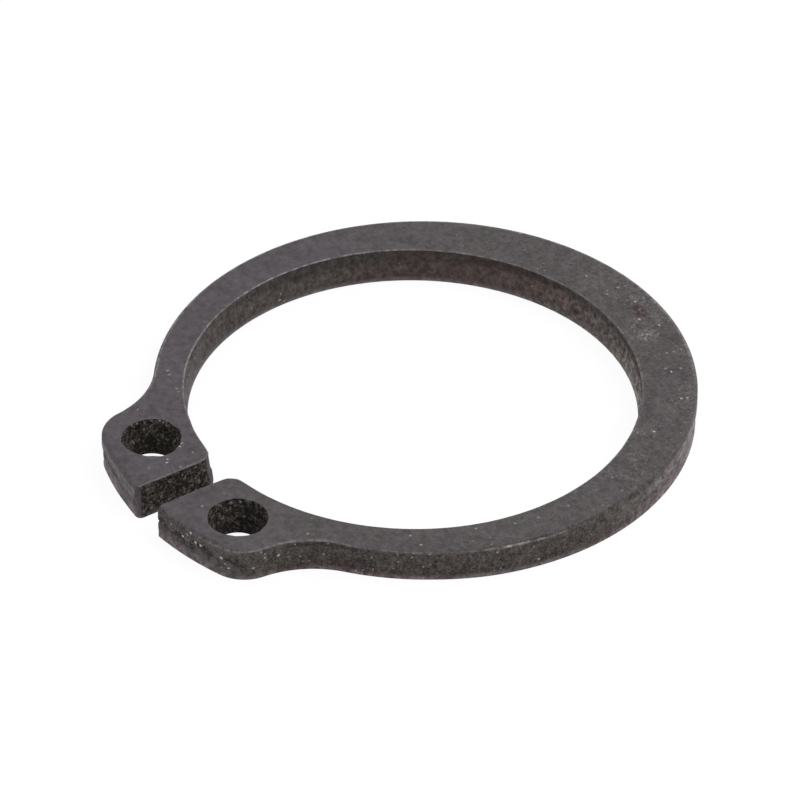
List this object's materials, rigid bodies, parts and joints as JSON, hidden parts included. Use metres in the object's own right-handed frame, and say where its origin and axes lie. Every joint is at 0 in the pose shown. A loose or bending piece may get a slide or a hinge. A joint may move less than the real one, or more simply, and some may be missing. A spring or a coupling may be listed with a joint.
{
  "type": "external retaining ring",
  "caption": "Flat open spring-steel ring that snaps into a shaft groove, tapered from its back to two drilled lugs that pliers spread apart.",
  "frame": {"origin": "axis of the bore, at the lower face of the ring", "axes": "+Z along the bore, out of the face with the rolled outer edge; -Y from the bore's axis to the gap; the ring is symmetric about the YZ plane"},
  "size_m": [0.022, 0.0245, 0.0015],
  "materials": {
    "blackened_steel": "dull grey-black phosphated and oiled spring steel, grainy on the sheared walls"
  },
  "bodies": {
    "root": {"retaining_ring": "blackened_steel"}
  },
  "joints": []
}
